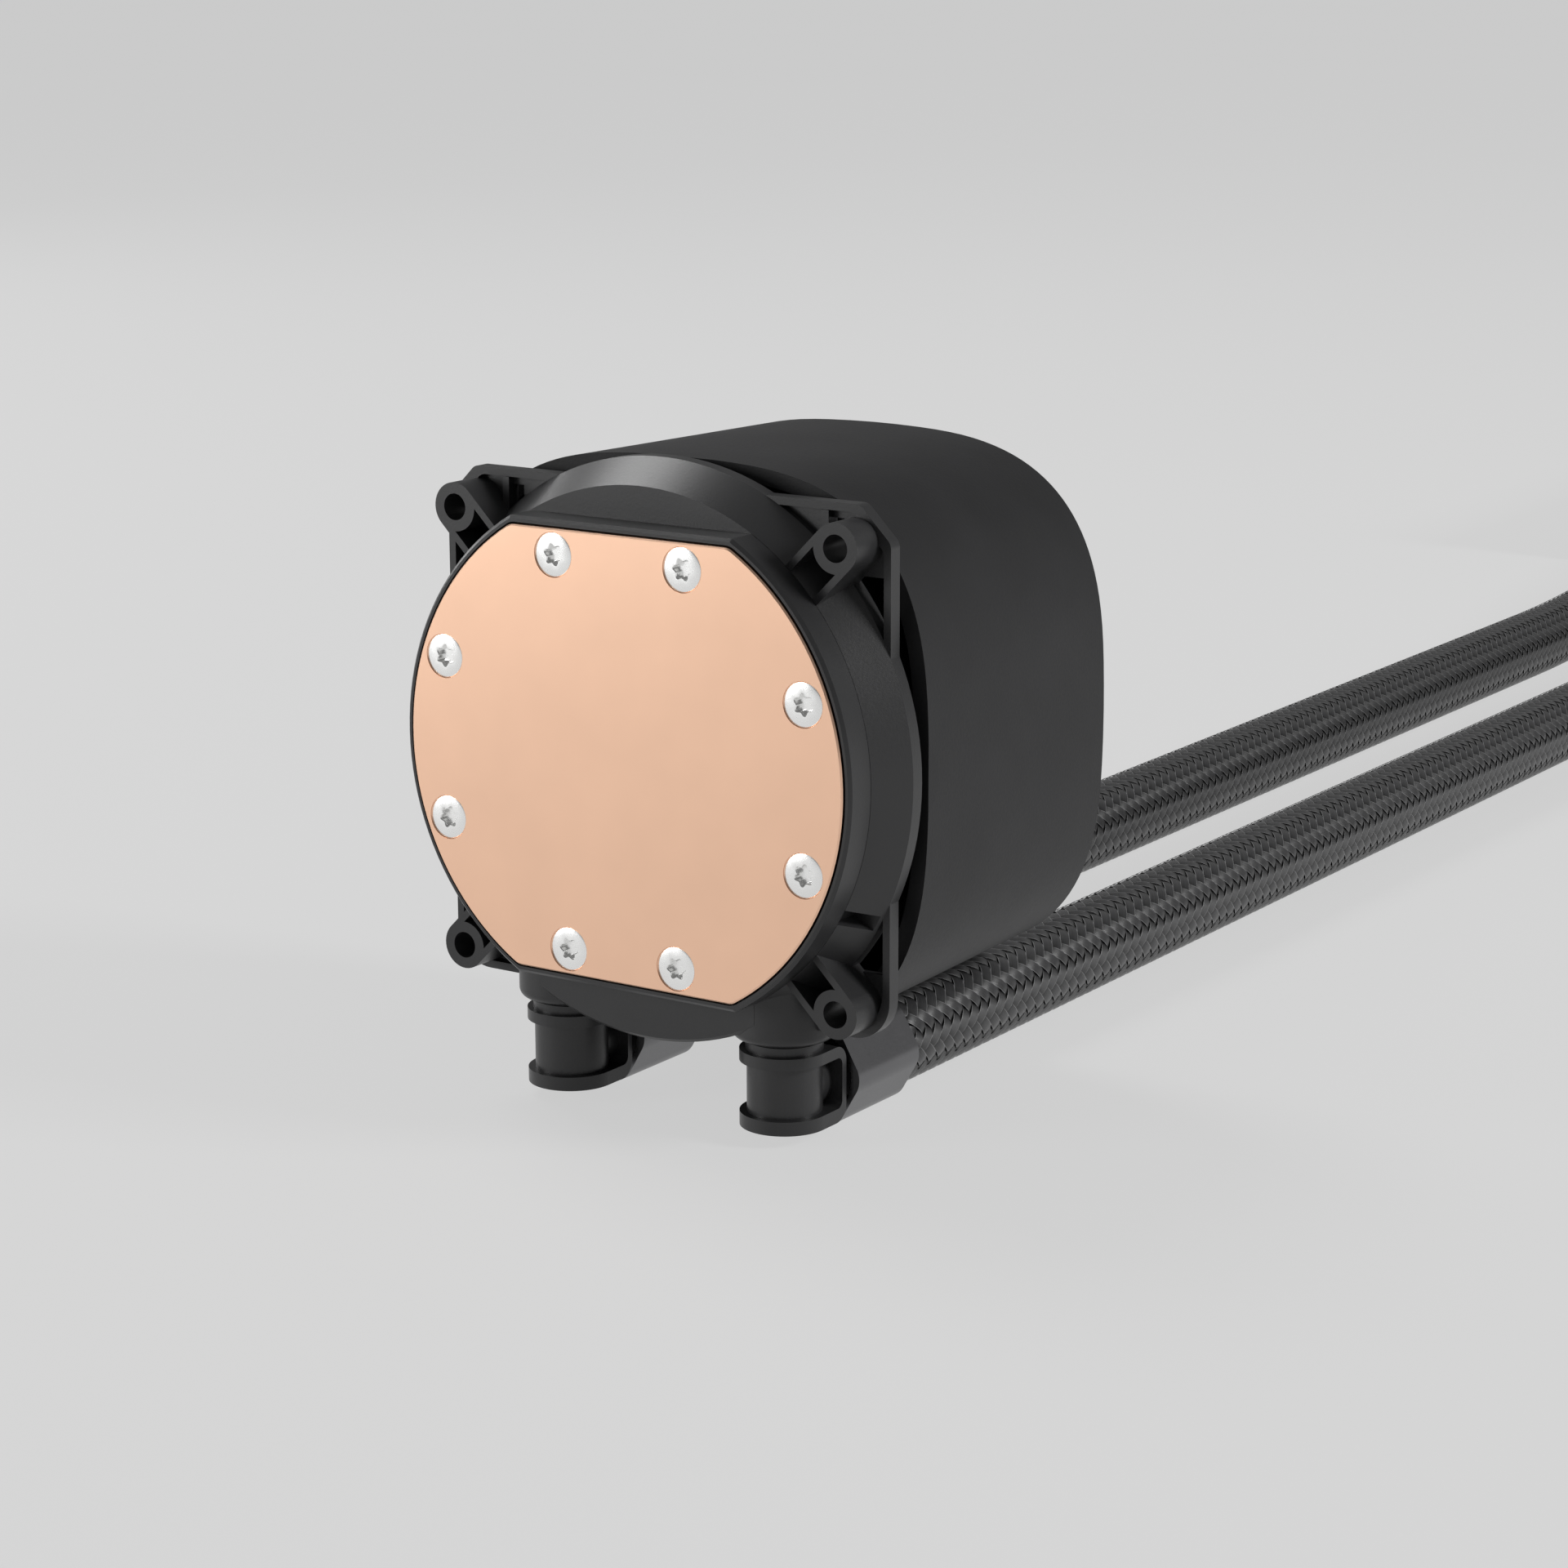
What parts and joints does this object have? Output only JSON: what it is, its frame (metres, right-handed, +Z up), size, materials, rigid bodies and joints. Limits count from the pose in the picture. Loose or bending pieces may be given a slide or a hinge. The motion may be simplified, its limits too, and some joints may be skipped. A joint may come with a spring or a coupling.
{
  "type": "all in one CPU liquid cooler",
  "caption": "Closed loop liquid cooler: pump head with copper cold plate, swivel elbow fittings, braided hoses and a flat radiator.",
  "frame": {"origin": "middle of the cold plate's outer face", "axes": "+Y along the pump axis from the cold plate into the pump and on to the radiator, +Z up, away from the hose ports, +X to the right seen from the cold plate side"},
  "size_m": [0.12, 0.735, 0.0842],
  "materials": {
    "copper": "fine brushed copper",
    "bright_steel": "bright zinc",
    "spring_steel": "plain",
    "seal_rubber": "soft black",
    "frame_plastic": "fine matt moulding",
    "cover_plastic": "fine matt moulding",
    "fitting_plastic": "satin moulding",
    "inner_plastic": "plain moulding",
    "impeller_plastic": "plain moulding",
    "ferrite": "sintered",
    "carbon": "ground",
    "ceramic": "polished",
    "laminations": "stacked sheet",
    "winding_copper": "enamelled wire",
    "board": "solder mask",
    "chip_plastic": "moulded",
    "capacitor_can": "drawn",
    "socket_plastic": "moulded",
    "collar_metal": "black satin",
    "hose_braid": "woven sleeve over rubber",
    "radiator_metal": "black coated",
    "fin_metal": "black coated",
    "plug_metal": "satin"
  },
  "bodies": {
    "cooler": {"cold_plate": "copper", "cold_plate_screws": "bright_steel", "cold_plate_seal": "seal_rubber", "pump_frame": "frame_plastic", "jet_plate": "inner_plastic", "rotor_shaft": "ceramic", "motor_can": "inner_plastic", "motor_can_screws": "bright_steel", "stator_core": "laminations", "stator_windings": "winding_copper", "circuit_board": "board", "circuit_board_screws": "bright_steel", "driver_chip": "chip_plastic", "capacitors": "capacitor_can", "power_socket": "socket_plastic", "pump_cover": "cover_plastic", "radiator_port_tank": "radiator_metal", "radiator_end_tank": "radiator_metal", "radiator_flat_tubes": "fin_metal", "radiator_fins": "fin_metal", "fill_plug": "plug_metal", "fill_plug_seal": "seal_rubber", "left_fitting_clip": "spring_steel", "left_radiator_collar": "collar_metal", "left_hose": "hose_braid", "left_side_rail": "radiator_metal", "right_fitting_clip": "spring_steel", "right_radiator_collar": "collar_metal", "right_hose": "hose_braid", "right_side_rail": "radiator_metal"},
    "rotor": {"impeller": "impeller_plastic", "rotor_magnet": "ferrite", "rotor_bush": "carbon"},
    "left_elbow": {"left_swivel_fitting": "fitting_plastic", "left_fitting_seals": "seal_rubber", "left_pump_collar": "collar_metal"},
    "right_elbow": {"right_swivel_fitting": "fitting_plastic", "right_fitting_seals": "seal_rubber", "right_pump_collar": "collar_metal"}
  },
  "joints": [
    {"name": "impeller_spin", "type": "hinge", "parent": "cooler", "child": "rotor", "pos_m": [0, 0.0118, 0], "axis": [0, 1, 0], "continuous": true},
    {"name": "left_swivel", "type": "hinge", "parent": "cooler", "child": "left_elbow", "pos_m": [-0.01657, 0.01137, -0.0412], "axis": [0, 0, 1], "range_deg": [-10, 25], "deforming": ["left_hose"]},
    {"name": "right_swivel", "type": "hinge", "parent": "cooler", "child": "right_elbow", "pos_m": [0.01657, 0.01137, -0.0412], "axis": [0, 0, 1], "range_deg": [-25, 10], "deforming": ["right_hose"]}
  ]
}
